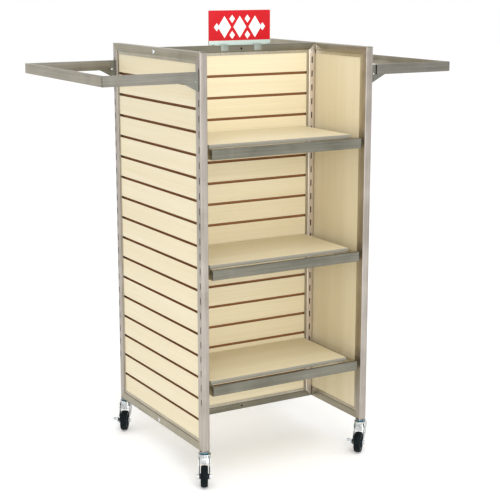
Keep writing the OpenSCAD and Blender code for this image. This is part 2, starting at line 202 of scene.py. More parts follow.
def fix(piece, name=None):
    """Puts the piece's place and turn into its mesh, and names it."""
    hold(piece)
    bpy.ops.object.transform_apply(location=True, rotation=True, scale=True)
    if name:
        piece.name = piece.data.name = name
    return piece


def pick(kind, test):
    """In edit mode, selects the verts, edges or faces that pass a test."""
    bpy.ops.mesh.select_mode(type={"verts": "VERT", "edges": "EDGE", "faces": "FACE"}[kind])
    bpy.ops.mesh.select_all(action="DESELECT")
    mesh = bpy.context.object.data
    shape = bmesh.from_edit_mesh(mesh)
    for part in getattr(shape, kind):
        if test(part):
            part.select_set(True)
    shape.select_flush_mode()
    bmesh.update_edit_mesh(mesh)


def pick_edges_along(axis):
    pick("edges", lambda e: abs((e.verts[0].co - e.verts[1].co).normalized()[axis]) > 0.9)


def modify(piece, kind, **settings):
    """Adds a modifier and applies it."""
    hold(piece)
    modifier = piece.modifiers.new(kind.title(), kind)
    for name, value in settings.items():
        setattr(modifier, name, value)
    bpy.ops.object.modifier_apply(modifier=modifier.name)


def block(low, high):
    """A block that fills a box, left in edit mode."""
    low, high = Vector(low), Vector(high)
    bpy.ops.object.select_all(action="DESELECT")
    bpy.ops.mesh.primitive_cube_add(size=1, location=(low + high) / 2)
    piece = bpy.context.object
    piece.scale = high - low
    fix(piece)
    bpy.ops.object.mode_set(mode="EDIT")
    return piece


def tube(name, box, along, mitres, corner=TUBE_CORNER, wall=TUBE_WALL):
    """Tube that fills a box. `mitres` says for its low and high end which way the cut slopes
    inwards, or None for a square end."""
    low, high = box
    piece = block(low, high)
    pick_edges_along(along)
    bpy.ops.mesh.bevel(offset=corner, segments=4, affect="EDGES")
    pick("faces", lambda f: abs(f.normal[along]) > 0.9)
    bpy.ops.mesh.delete(type="FACE")
    for end, inward, outward in ((low, mitres[0], -UNIT[along]), (high, mitres[1], UNIT[along])):
        if inward is None:
            continue
        side = Vector(low if sum(inward) > 0 else high)
        side[along] = end[along]
        bpy.ops.mesh.select_all(action="SELECT")
        bpy.ops.mesh.bisect(plane_co=side, plane_no=outward + inward, clear_outer=True)
    bpy.ops.object.mode_set(mode="OBJECT")
    piece.data.materials.append(None)
    piece.data.materials.append(scaled_steel_and_shade.material)
    modify(
        piece, "SOLIDIFY", thickness=wall, offset=-1, use_even_offset=True, material_offset=1
    )
    bpy.ops.object.shade_smooth_by_angle(angle=SMOOTH_ANGLE)
    piece.name = piece.data.name = name
    return piece


def slot_cutter(length, width, depth, centre, facing):
    """A rounded bar that cuts one upright slot through a wall that faces along an axis."""
    bpy.ops.object.select_all(action="DESELECT")
    bpy.ops.mesh.primitive_cylinder_add(vertices=20, radius=width / 2, depth=depth)
    piece = bpy.context.object
    piece.rotation_euler = (0, math.pi / 2, 0) if facing == X else (math.pi / 2, 0, 0)
    fix(piece)
    bpy.ops.object.mode_set(mode="EDIT")
    for way in (1, -1):
        pick("verts", lambda v: v.co.z * way > TOUCHING)
        bpy.ops.transform.translate(value=(0, 0, way * (length - width) / 2))
    bpy.ops.object.mode_set(mode="OBJECT")
    piece.location = centre
    return fix(piece)


def cut(piece, cutter):
    modify(piece, "BOOLEAN", operation="DIFFERENCE", object=cutter, solver="EXACT")
    bpy.data.objects.remove(cutter)


def cut_slots(piece, centre, facing):
    """Cuts the column of slots through one wall of an upright."""
    cutter = slot_cutter(SLOT_LENGTH, SLOT_WIDTH, 4 * TUBE_WALL, centre, facing)
    modify(
        cutter, "ARRAY", count=SLOT_COUNT, use_relative_offset=False,
        use_constant_offset=True, constant_offset_displace=(0, 0, -SLOT_PITCH),
    )
    cut(piece, cutter)


def copied(piece):
    """A copy of a piece, selected alone."""
    hold(piece)
    bpy.ops.object.duplicate()
    return bpy.context.object


def mirrored(piece, name, axis, middle=0.0):
    """A copy on the other side of the unit."""
    copy = copied(piece)
    copy.scale[axis] = -1
    copy.location[axis] = 2 * middle
    fix(copy, name)
    bpy.ops.object.mode_set(mode="EDIT")
    bpy.ops.mesh.select_all(action="SELECT")
    bpy.ops.mesh.normals_make_consistent(inside=False)
    bpy.ops.object.mode_set(mode="OBJECT")
    return copy


def stand_for(piece, body, slot, *replaced):
    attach(piece, body)
    if replaced:
        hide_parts(*replaced)


# Uprights and rails share one satin nickel plate. Their different tones are painted reflection:
# the uprights are painted lighter and the rails darker, for the light each catches.
end_upright_painted_reflection = brushed_nickel(
    "end_uprights_nickel", Z, paint(192, 184, 176), paint(136, 129, 119)
)
end_rail_painted_reflection = brushed_nickel(
    "end_rails_nickel", Y, paint(176, 169, 151), paint(132, 126, 108)
)

post_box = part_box("left_front_post")
frame_top = post_box[1].z
frame_middle = (post_box[0].z + post_box[1].z) / 2
posts = {"left_front": tube("left_front_post_tube", post_box, Z, (UNIT[Y], UNIT[Y]))}
cut_slots(
    posts["left_front"],
    (post_box[0].x, post_box[0].y + SLOT_EDGE, frame_top - SLOT_TOP), X,
)
posts["left_rear"] = mirrored(posts["left_front"], "left_rear_post_tube", Y)
for corner in ("front", "rear"):
    posts["right_" + corner] = mirrored(
        posts["left_" + corner], f"right_{corner}_post_tube", X
    )
for corner, post in posts.items():
    dress(post, end_upright_painted_reflection)
    stand_for(post, "frame", "satin_nickel", corner + "_post")

end_rail_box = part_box("left_top_rail")
rails = {"left_top": tube("left_top_rail_tube", end_rail_box, Y, (-UNIT[Z], -UNIT[Z]))}
rails["left_bottom"] = mirrored(rails["left_top"], "left_bottom_rail_tube", Z, frame_middle)
for level in ("top", "bottom"):
    rails["right_" + level] = mirrored(rails["left_" + level], f"right_{level}_rail_tube", X)
for place, rail in rails.items():
    dress(rail, end_rail_painted_reflection)
    stand_for(rail, "frame", "satin_nickel", place + "_rail")


# ---- Centre frame tubes ----
# The centre frame is made the same way from 25 mm tube. Its uprights are slotted front and
# rear for the shelves, and each rail has one drilled hole in the middle for an accessory bolt.
ACCESSORY_HOLE = 8 * MM
DRILL_REACH = 40 * MM

# The same satin nickel plate as the end frames. The standards are painted much lighter as painted
# highlight, and the rails much darker as painted shade.
standard_painted_reflection = brushed_nickel(
    "standards_nickel", Z, paint(240, 231, 226), paint(204, 195, 187), 0.34
)
centre_rail_painted_reflection = brushed_nickel(
    "centre_rails_nickel", X, paint(140, 136, 120), paint(104, 100, 86), 0.34
)

standard_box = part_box("centre_left_standard")
standard = tube("centre_left_standard_tube", standard_box, Z, (UNIT[X], UNIT[X]))
standard_x = (standard_box[0].x + standard_box[1].x) / 2
for face_y in (standard_box[0].y, standard_box[1].y):
    cut_slots(standard, (standard_x, face_y, frame_top - SLOT_TOP), Y)
standards = {"left": standard, "right": mirrored(standard, "centre_right_standard_tube", X)}
for side, upright in standards.items():
    dress(upright, standard_painted_reflection)
    stand_for(upright, "frame", "satin_nickel", f"centre_{side}_standard")

centre_rail_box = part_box("centre_top_rail")
top_rail = tube("centre_top_rail_tube", centre_rail_box, X, (-UNIT[Z], -UNIT[Z]))
rail_z = (centre_rail_box[0].z + centre_rail_box[1].z) / 2
cut(top_rail, slot_cutter(ACCESSORY_HOLE, ACCESSORY_HOLE, DRILL_REACH, (0, 0, rail_z), Y))
centre_rails = {
    "top": top_rail,
    "bottom": mirrored(top_rail, "centre_bottom_rail_tube", Z, frame_middle),
}
for level, rail in centre_rails.items():
    dress(rail, centre_rail_painted_reflection)
    stand_for(rail, "frame", "satin_nickel", f"centre_{level}_rail")


# ---- Panel channels ----
# Rolled steel channels line each frame and hold the edge of the slatwall board. They are
# plated with the frame; their lighter tone is painted reflection, for the light their lips catch
# round each board.
channel_painted_reflection = brushed_nickel(
    "channels_nickel", Z, paint(200, 193, 176), paint(156, 149, 132), 0.3
)
for place in ("left", "right", "centre"):
    dress(nodes[place + "_panel_channels"], channel_painted_reflection)


# ---- Slatwall boards ----
# 19 mm fibreboard with pale maple laminate on both faces. The grain runs level across the
# grooved face and upright on the plain face. The grooves are routed through the laminate,
# so they and the board's edges show the brown core.
LAMINATE = 0.35 * MM
MAPLE_LIGHT = paint(230, 219, 190)
MAPLE_DARK = paint(212, 198, 160)
CORE_BROWN = paint(172, 118, 70)


def maple(finish, across, along):
    """Maple laminate: broad planks of slightly different tone, fine grain and short flecks."""
    plank_scale = [0.4] * 3
    plank_scale[across] = 14.0
    grain_scale = [60.0] * 3
    grain_scale[across] = 240.0
    grain_scale[along] = 2.2
    fleck_scale = [600.0] * 3
    fleck_scale[along] = 35.0
    planks = finish.noise(plank_scale, 1.0)
    grain = finish.noise(grain_scale, 5.0, 0.25)
    flecks = finish.noise(fleck_scale, 2.0)
    tone = (planks - 0.5) * 0.9 + (grain - 0.5) * 0.9 + (flecks - 0.5) * 0.25 + 0.5
    return finish.mixed(tone, MAPLE_DARK, MAPLE_LIGHT), grain


def slatwall_finish(name, deep, level, face, back):
    """`deep` is the axis through the board, `face` and `back` where its two faces lie on it."""
    finish = Finish(name, Coat_Weight=0.12, Coat_Roughness=0.3)
    depth = finish.axis(deep)
    way = 1 if face < back else -1
    on_face = (depth - face) * way < LAMINATE
    on_back = (depth - back) * way > -LAMINATE
    level_grain, level_relief = maple(finish, Z, level)
    upright_grain, upright_relief = maple(finish, level, Z)
    core_fuzz = finish.noise([900.0] * 3, 5.0)
    core = finish.mixed(core_fuzz * 1.6 - 0.3, paint(132, 86, 48), CORE_BROWN)
    laminate = finish.mixed(on_back, level_grain, upright_grain)
    shown = finish.mixed(on_face + on_back, core, laminate)
    finish.feed("Base Color", shown)
    finish.feed("Roughness", 0.85 - (on_face + on_back) * 0.4 + level_relief * 0.06)
    finish.relief(level_relief * on_face + upright_relief * on_back + core_fuzz * 0.5, 0.00003)
    return finish.material


for place, deep, level in (("left", X, Y), ("right", X, Y), ("centre", Y, X)):
    low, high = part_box(place + "_slatwall")
    face, back = (high[deep], low[deep]) if place == "right" else (low[deep], high[deep])
    board_finish = slatwall_finish(place + "_maple_slatwall", deep, level, face, back)
    dress(nodes[place + "_slatwall"], board_finish)


# ---- Frame bolts ----
# Four round-headed bolts with a hexagon socket clamp the end frames to the centre frame.
# Only the domed zinc-plated heads show, outside the end rails. The profile runs from the
# middle of the socket over the dome and down the shank.
BOLT_PROFILE = [
    (0, 0.9), (2.6, 0.9), (3.0, 3.9), (4.4, 3.75), (6.0, 3.0), (7.1, 1.7), (7.5, 0.4),
    (7.5, 0), (4, 0), (4, -37.5), (3.4, -38), (0, -38),
]


def zinc(name, light=paint(232, 234, 236), dark=paint(186, 188, 190), rough=0.2):
    """Bright zinc plate, slightly cloudy, with a trace of the rolled sheet's grain."""
    finish = Finish(name, Metallic=1.0)
    clouds = finish.noise([90.0] * 3, 4.0, 0.8)
    fine = finish.noise([700.0] * 3, 2.0)
    finish.feed("Base Color", finish.mixed(clouds * 1.8 - 0.4, dark, light))
    finish.feed("Roughness", rough + clouds * 0.12 + fine * 0.05)
    finish.relief(clouds + fine * 0.4, 0.00005)
    return finish.material


def drawn(points):
    """A line of edges from point to point, selected and left in edit mode."""
    bpy.ops.object.select_all(action="DESELECT")
    bpy.ops.mesh.primitive_plane_add(size=1)
    piece = bpy.context.object
    bpy.ops.object.mode_set(mode="EDIT")
    bpy.ops.mesh.select_mode(type="VERT")
    bpy.ops.mesh.select_all(action="SELECT")
    bpy.ops.mesh.merge(type="CENTER")
    here = Vector((0, 0, 0))
    for index, there in enumerate(points):
        if index:
            bpy.ops.mesh.extrude_vertices_move(TRANSFORM_OT_translate={"value": there - here})
        else:
            bpy.ops.transform.translate(value=there)
        here = there
    bpy.ops.mesh.select_all(action="SELECT")
    return piece


def turned(name, profile, steps=48):
    """A turned shape about Z. `profile` lists radius and height, in millimetres."""
    piece = drawn([Vector((radius, 0, height)) * MM for radius, height in profile])
    bpy.ops.mesh.spin(steps=steps, angle=math.tau, center=(0, 0, 0), axis=(0, 0, 1))
    bpy.ops.mesh.select_all(action="SELECT")
    bpy.ops.mesh.remove_doubles(threshold=TOUCHING)
    bpy.ops.mesh.normals_make_consistent(inside=False)
    bpy.ops.object.mode_set(mode="OBJECT")
    hold(piece)
    bpy.ops.object.shade_smooth_by_angle(angle=TURNED_ANGLE)
    piece.name = piece.data.name = name
    return piece


def joined(name, pieces):
    """Several loose solids as one piece."""
    bpy.ops.object.select_all(action="DESELECT")
    for piece in pieces:
        piece.select_set(True)
    bpy.context.view_layer.objects.active = pieces[0]
    bpy.ops.object.join()
    piece = bpy.context.object
    piece.name = piece.data.name = name
    return piece


zinc_finish = zinc("zinc_plate")
bolts = []
for side in (-1, 1):
    for level in ("bottom", "top"):
        low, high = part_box(f"left_{level}_rail")
        bolt = turned("bolt", BOLT_PROFILE, 36)
        bolt.rotation_euler = (0, side * math.pi / 2, 0)
        bolt.location = (side * abs(low.x), 0, (low.z + high.z) / 2)
        bolts.append(fix(bolt))
frame_bolts = joined("frame_bolt_set", bolts)
dress(frame_bolts, zinc_finish)
stand_for(frame_bolts, "frame", "zinc_plate", "frame_bolts")


# ---- Casters ----
# Four swivel casters with 76 mm wheels screw into the ends of the posts. Each has a fixed race
# cup on its stem, a ring of balls in a dark teal ring of painted shade for the raceway gap, a
# pressed zinc-plated fork, and a black rubber tyre on a ribbed plastic hub. Two of them have a
# side brake lever on the axle.
FORK_SHEET = 2.8 * MM
FORK_ANGLE = math.radians(40)
LEG_FLANGE = 4.0 * MM
SKIRT_SPREAD = 1.05
BALL_COUNT = 14
BALL_RADIUS = 1.7
BALL_RING = 15.9 * MM
BALL_Z = 114.2 * MM
RIB_COUNT = 6
RIB_THICK = 2.2 * MM
RIB_WIDE = 18.8 * MM
RIB_FROM = 9 * MM
RIB_TO = 23.4 * MM
RIB_ARRIS = 0.6 * MM
AXLE_ARRIS = 0.7 * MM
TREAD_RADIUS = 37.0
TREAD_WIDE = 16.0
TREAD_CROWN = 1.0
TREAD_STEPS = 10
AXLE_BORE = 4.06 * MM
LEVER_SIDE = 19.2 * MM
LEVER_SHEET = 3 * MM
LEVER_TALL = 14 * MM
LEVER_LONG = 34 * MM
LEVER_RISE = math.radians(25)
PEDAL_WIDE = 18 * MM
PEDAL_LONG = 14 * MM
PEDAL_LIP = 6 * MM
PEDAL_RIB = 0.8 * MM
PEDAL_RIBS = 3
CORNERS = ("left_front", "left_rear", "right_front", "right_rear")
BRAKED = ("left_rear", "right_front")

joints = {joint["name"]: joint for joint in frame["joints"]}
swivels = {corner: Vector(joints[corner + "_swivel"]["pos_m"]) for corner in CORNERS}
axles = {corner: Vector(joints[corner + "_roll"]["pos_m"]) for corner in CORNERS}
trail = (axles["left_front"] - swivels["left_front"]).xy.length
axle_z = axles["left_front"].z


def at_corner(piece, corner, name):
    """A copy of a piece that was made with its swivel axis on Z and its wheel trailing to +X."""
    copy = copied(piece)
    way = axles[corner] - swivels[corner]
    copy.rotation_euler = (0, 0, math.atan2(way.y, way.x))
    copy.location = (swivels[corner].x, swivels[corner].y, 0)
    return fix(copy, name)


def on_axle(piece):
    """Turns a piece that was made about Z onto the axle of a caster at the origin."""
    piece.rotation_euler = (math.pi / 2, 0, 0)
    piece.location = (trail, 0, axle_z)
    return fix(piece)


def seam_free(piece):
    """Merges doubles and turns the faces outwards."""
    hold(piece)
    bpy.ops.object.mode_set(mode="EDIT")
    bpy.ops.mesh.select_all(action="SELECT")
    bpy.ops.mesh.remove_doubles(threshold=TOUCHING)
    bpy.ops.mesh.normals_make_consistent(inside=False)
    bpy.ops.object.mode_set(mode="OBJECT")


def eased_block(low, high, width=0.6 * MM):
    """A block with every edge rounded over."""
    piece = block(low, high)
    bpy.ops.mesh.select_all(action="SELECT")
    bpy.ops.mesh.bevel(offset=width, segments=3, affect="EDGES")
    bpy.ops.object.mode_set(mode="OBJECT")
    bpy.ops.object.shade_smooth_by_angle(angle=SMOOTH_ANGLE)
    return piece


def eased(name, node, width):
    """A copy of a CAD node with its sharp edges rounded over."""
    piece = copied(nodes[node])
    for key in [key for key in piece.keys() if key.startswith("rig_")]:
        del piece[key]
    piece.parent = None
    bpy.ops.object.mode_set(mode="EDIT")
    bpy.ops.mesh.select_all(action="SELECT")
    bpy.ops.mesh.remove_doubles(threshold=TOUCHING)
    bpy.ops.mesh.dissolve_limited(angle_limit=math.radians(0.5))
    bpy.ops.object.mode_set(mode="OBJECT")
    modify(
        piece, "BEVEL", width=width, segments=3, limit_method="ANGLE",
        angle_limit=math.radians(50), use_clamp_overlap=True,
    )
    hold(piece)
    bpy.ops.object.shade_smooth_by_angle(angle=SMOOTH_ANGLE)
    piece.name = piece.data.name = name
    piece.data.materials.clear()
    return piece


race_cup = turned("race_cup", [
    (0, 103.3), (9.2, 103.3), (10.6, 103.9), (11, 104.9), (10.4, 105.8), (6, 105.8), (6, 113),
    (11.2, 113), (12.2, 113.4), (12.8, 114.4), (13.2, 116), (14.2, 116.8), (17.2, 116.9),
    (18, 117.3), (17.9, 118), (6, 118), (6, 151.2), (5.2, 152), (0, 152),
])
ball = turned("ball", [
    (BALL_RADIUS * math.sin(step * math.pi / 8), -BALL_RADIUS * math.cos(step * math.pi / 8))
    for step in range(9)
], 12)
balls = []
for step in range(BALL_COUNT):
    turn = step * math.tau / BALL_COUNT
    copy = copied(ball)
    copy.location = (BALL_RING * math.cos(turn), BALL_RING * math.sin(turn), BALL_Z)
    balls.append(fix(copy))
bpy.data.objects.remove(ball)
stem_set = joined("stem_set", [race_cup] + balls)
dress(stem_set, zinc_finish)
# A dark teal ring sunk round the balls: painted shade that stands for the dark raceway gap under
# the race cup.
raceway_shade_ring = turned("ball_cage", [
    (13.5, 111.4), (16.8, 111.4), (17.2, 111.9), (17.2, 116.1), (16.8, 116.6), (13.5, 116.6),
    (13.5, 111.4),
])
raceway_shade_finish = Finish("cage_plastic", Roughness=0.35)
raceway_shade_clouds = raceway_shade_finish.noise([300.0] * 3)
raceway_shade_finish.feed(
    "Base Color", raceway_shade_finish.mixed(raceway_shade_clouds, paint(10, 66, 88), paint(20, 100, 120))
)
dress(raceway_shade_ring, raceway_shade_finish.material)

# The fork is one strip of sheet, drawn from the middle of the crown over a rounded shoulder
# and down one leg to the eye, then mirrored: height, leading edge, rear edge, distance out.
LEG_STATIONS = [
    (109.2, -19.5, 20.5, 13.5), (108.6, -19.5, 20.5, 15.8), (106.4, -19.2, 20.6, 17.2),
    (102.0, -18.4, 21.2, 17.7), (92.0, -14.6, 24.4, 17.6), (80.0, -8.0, 29.0, 17.5),
    (68.0, 0.5, 33.8, 17.5), (56.0, 10.0, 38.6, 17.5), (46.0, 18.0, 41.8, 17.5),
    (38.0, 21.0, 43.0, 17.5), (33.5, 22.0, 42.0, 17.5), (29.6, 25.0, 39.0, 17.5),
    (27.6, 28.6, 35.4, 17.5),
]
bpy.ops.object.select_all(action="DESELECT")
bpy.ops.mesh.primitive_grid_add(x_subdivisions=8, y_subdivisions=1, size=1)
fork = bpy.context.object
height, lead, rear, out = LEG_STATIONS[0]
fork.scale = ((rear - lead) * MM, out * MM, 1)
fork.location = ((rear + lead) / 2 * MM, out / 2 * MM, height * MM)
fix(fork)
bpy.ops.object.mode_set(mode="EDIT")
edge = out * MM
pick("verts", lambda v: abs(v.co.y - edge) < TOUCHING)
for (z0, a0, b0, y0), (z1, a1, b1, y1) in zip(LEG_STATIONS, LEG_STATIONS[1:]):
    shift = Vector(((a1 + b1 - a0 - b0) / 2, y1 - y0, z1 - z0)) * MM
    bpy.ops.mesh.extrude_region_move(TRANSFORM_OT_translate={"value": shift})
    bpy.ops.transform.resize(
        value=((b1 - a1) / (b0 - a0), 1, 1),
        center_override=((a1 + b1) / 2 * MM, y1 * MM, z1 * MM),
    )
for z1, a1, b1, y1 in LEG_STATIONS[3:8]:
    pick("verts", lambda v: abs(v.co.z - z1 * MM) < TOUCHING
         and min(abs(v.co.x - a1 * MM), abs(v.co.x - b1 * MM)) < NEAR)
    bpy.ops.transform.translate(value=(0, LEG_FLANGE, 0))
for edge_index in (1, 2):
    last = LEG_STATIONS[0]
    rim = last[edge_index] * MM
    pick("verts", lambda v: abs(v.co.z - last[0] * MM) < TOUCHING and abs(v.co.x - rim) < NEAR)
    for station in LEG_STATIONS[2:6]:
        shift = Vector((station[edge_index] - last[edge_index], 0, station[0] - last[0])) * MM
        bpy.ops.mesh.extrude_region_move(TRANSFORM_OT_translate={"value": shift})
        bpy.ops.transform.resize(value=(1, SKIRT_SPREAD, 1), center_override=(rim, 0, 0))
        last = station
bpy.ops.object.mode_set(mode="OBJECT")
modify(fork, "MIRROR", use_axis=(False, True, False), use_clip=True, merge_threshold=NEAR)
modify(fork, "SOLIDIFY", thickness=FORK_SHEET, offset=0, use_even_offset=True)
modify(fork, "SUBSURF", levels=2, render_levels=2)
race = turned("lower_race", [
    (6.06, 106.4), (21.4, 106.4), (22.8, 106.9), (23, 108.0), (22.2, 109.2), (20.4, 110.2),
    (18.2, 110.6), (17.0, 110.9), (14, 110.9), (13.2, 112.4), (6.06, 112.4), (6.06, 106.4),
])
fork = joined("fork", [fork, race])
seam_free(fork)
bpy.ops.object.shade_smooth_by_angle(angle=FORK_ANGLE)
dress(fork, zinc("fork_zinc", paint(226, 228, 228), paint(150, 154, 154), 0.16))

rubber = Finish("tyre_rubber", Specular_IOR_Level=0.1)
rubber_clouds = rubber.noise([60.0] * 3, 4.0, 0.5)
rubber_fine = rubber.noise([900.0] * 3, 3.0)
rubber.feed(
    "Base Color", rubber.mixed(rubber_clouds * 1.5 - 0.25, paint(4, 8, 10), paint(12, 24, 27))
)
rubber.feed("Roughness", 0.4 + rubber_clouds * 0.2 + rubber_fine * 0.1)
rubber.relief(rubber_fine, 0.00006)
tread = [
    (
        TREAD_RADIUS + TREAD_CROWN * math.sin(step * math.pi / TREAD_STEPS),
        TREAD_WIDE * (step / TREAD_STEPS - 0.5),
    )
    for step in range(TREAD_STEPS + 1)
]
tyre = turned("tyre", [
    (27, -11.4), (27.8, -12), (30.4, -12), (31, -11.5), (31.6, -12), (34.2, -12), (35.9, -11.2),
    (36.8, -9.6), *tread, (36.8, 9.6), (35.9, 11.2), (34.2, 12), (31.6, 12), (31, 11.5),
    (30.4, 12), (27.8, 12), (27, 11.4), (27, -11.4),
], 96)
on_axle(tyre)
dress(tyre, rubber.material)

hub_plastic = Finish("hub_plastic", Specular_IOR_Level=0.3)
hub_clouds = hub_plastic.noise([80.0] * 3, 3.0)
hub_plastic.feed(
    "Base Color", hub_plastic.mixed(hub_clouds, paint(12, 22, 28), paint(24, 44, 54))
)
hub_plastic.feed("Roughness", 0.34 + hub_clouds * 0.2)
hub_plastic.relief(hub_plastic.noise([1200.0] * 3, 2.0), 0.00003)
hub_body = turned("hub_body", [
    (4.06, -15.4), (4.4, -15.7), (9, -15.7), (9.8, -15), (10.2, -6.6), (11.6, -5.2), (20.8, -5),
    (22.6, -6.4), (23, -10.4), (23.6, -11), (26.4, -11), (26.98, -10.4), (26.98, 10.4),
    (26.4, 11), (23.6, 11), (23, 10.4), (22.6, 6.4), (20.8, 5), (11.6, 5.2), (10.2, 6.6),
    (9.8, 15), (9, 15.7), (4.4, 15.7), (4.06, 15.4), (4.06, -15.4),
])
ribs = []
for step in range(RIB_COUNT):
    rib = block((RIB_FROM, -RIB_THICK / 2, -RIB_WIDE / 2), (RIB_TO, RIB_THICK / 2, RIB_WIDE / 2))
    pick_edges_along(X)
    bpy.ops.mesh.bevel(offset=RIB_ARRIS, segments=2, affect="EDGES")
    bpy.ops.object.mode_set(mode="OBJECT")
    rib.rotation_euler = (0, 0, step * math.tau / RIB_COUNT)
    ribs.append(fix(rib))
hub = joined("hub", [hub_body] + ribs)
bpy.ops.object.shade_smooth_by_angle(angle=TURNED_ANGLE)
on_axle(hub)
dress(hub, hub_plastic.material)

# The brake lever is bent from 3 mm sheet: an eye on the axle, an arm, and a ribbed foot pedal
# with its end turned down.
arm_out = LEVER_SIDE + LEVER_SHEET
lever_parts = [
    eased_block((0, -arm_out, -LEVER_TALL / 2), (LEVER_LONG, -LEVER_SIDE, LEVER_TALL / 2)),
    eased_block(
        (LEVER_LONG - PEDAL_LONG, -LEVER_SIDE - PEDAL_WIDE, LEVER_TALL / 2 - LEVER_SHEET),
        (LEVER_LONG, -LEVER_SIDE, LEVER_TALL / 2 - PEDAL_RIB / 2),
    ),
    eased_block(
        (LEVER_LONG - LEVER_SHEET, -LEVER_SIDE - PEDAL_WIDE, -PEDAL_LIP / 2),
        (LEVER_LONG, -LEVER_SIDE, LEVER_TALL / 2 - PEDAL_RIB / 2),
    ),
]
for step in range(PEDAL_RIBS):
    rib_x = LEVER_LONG - PEDAL_LONG + (step + 0.5) * PEDAL_LONG / PEDAL_RIBS
    lever_parts.append(eased_block(
        (rib_x - PEDAL_RIB, 2 * MM - LEVER_SIDE - PEDAL_WIDE, LEVER_TALL / 2 - 2 * PEDAL_RIB),
        (rib_x + PEDAL_RIB, -arm_out - MM, LEVER_TALL / 2),
    ))
eye = turned("lever_eye", [
    (4.06, -1.35), (4.4, -1.45), (10.4, -1.35), (11, -0.9), (11, 0.9), (10.4, 1.35),
    (4.4, 1.45), (4.06, 1.35), (4.06, -1.35),
])
eye.rotation_euler = (math.pi / 2, 0, 0)
eye.location = (0, -LEVER_SIDE - LEVER_SHEET / 2, 0)
bore = block((-AXLE_BORE, -2 * arm_out, -AXLE_BORE), (AXLE_BORE, 0, AXLE_BORE))
bpy.ops.object.mode_set(mode="OBJECT")
cut(lever_parts[0], bore)
lever = joined("brake_lever", lever_parts + [fix(eye)])
bpy.ops.object.shade_smooth_by_angle(angle=SMOOTH_ANGLE)
lever.rotation_euler = (0, -LEVER_RISE, 0)
lever.location = (trail, 0, axle_z)
fix(lever)
dress(lever, zinc("lever_zinc", paint(226, 230, 232), paint(160, 166, 170), 0.18))


for corner in CORNERS:
    caster = corner + "_caster"
    wheel = corner + "_wheel"
    race_copy = at_corner(stem_set, corner, corner + "_race_cup")
    stand_for(race_copy, "frame", "zinc_plate", corner + "_stem")
    stand_for(at_corner(raceway_shade_ring, corner, corner + "_ball_cage"), "frame", "caster_hub")
    fork_copy = at_corner(fork, corner, corner + "_pressed_fork")
    stand_for(fork_copy, caster, "zinc_plate", corner + "_fork")
    hub_copy = at_corner(hub, corner, corner + "_ribbed_hub")
    stand_for(hub_copy, wheel, "caster_hub", corner + "_hub")
    tyre_copy = at_corner(tyre, corner, corner + "_rubber_tyre")
    stand_for(tyre_copy, wheel, "caster_tyre", corner + "_tyre")
    bolt = eased(corner + "_axle_bolt", corner + "_axle", AXLE_ARRIS)
    dress(bolt, zinc_finish)
    stand_for(bolt, caster, "zinc_plate", corner + "_axle")
for corner in BRAKED:
    pedal = at_corner(lever, corner, corner + "_brake_lever")
    stand_for(pedal, corner + "_brake", "zinc_plate", corner + "_brake")
for pattern in (stem_set, raceway_shade_ring, fork, tyre, hub, lever):
    bpy.data.objects.remove(pattern)


# ---- Shelf frames ----
# Each shelf rests on a U of 35 x 12.7 mm flat tube, mitred and welded at the front corners. Two
# straps cross it, and a hooked plate on the outside of each arm drops into the upright's slots.
BAR_TALL = 35 * MM
BAR_THICK = 12.7 * MM
BAR_CORNER = 1.8 * MM
PLATE = 2.5 * MM
PLATE_ARRIS = 0.35 * MM
PLATE_GAP = 0.3 * MM
STRAP_WIDE = 25 * MM
STRAP_THICK = 3 * MM
STRAP_COUNT = 2
ARM_SLOT_BACK = 58 * MM
ARM_SLOT_TALL = 26 * MM
ARM_SLOT_WIDE = 7 * MM
HOOK_PLATE = [
    (58, 0), (58, -17.5), (0.3, -64.8), (0.3, -62.3), (-2, -62.3), (-2, -71.3), (-5, -71.3),
    (-5, -51.3), (0.3, -51.3), (0.3, -11.5), (-2, -11.5), (-2, -20.5), (-5, -20.5), (-5, -0.5),
    (0.3, -0.5), (0.3, 0),
]

# Bars, straps, arms and hook plates are one satin nickel plate. The front bars and straps are
# painted darker as painted shade, and the arms and hook plates lighter as painted highlight.
shelf_bar_painted_reflection = brushed_nickel(
    "shelf_bars_nickel", X, paint(142, 140, 128), paint(96, 94, 83)
)
shelf_arm_painted_reflection = brushed_nickel(
    "shelf_arms_nickel", Y, paint(206, 199, 184), paint(160, 153, 136)
)


def cut_plate(name, outline, thickness):
    """A plate cut from sheet, from an outline of X and Z in millimetres, centred on Y = 0."""
    piece = drawn([Vector((x * MM, -thickness / 2, z * MM)) for x, z in outline])
    bpy.ops.mesh.edge_face_add()
    bpy.ops.mesh.extrude_region_move(TRANSFORM_OT_translate={"value": (0, thickness, 0)})
    bpy.ops.mesh.select_all(action="SELECT")
    bpy.ops.mesh.normals_make_consistent(inside=False)
    bpy.ops.object.mode_set(mode="OBJECT")
    modify(piece, "BEVEL", width=PLATE_ARRIS, segments=2, limit_method="ANGLE")
    piece.name = piece.data.name = name
    return piece


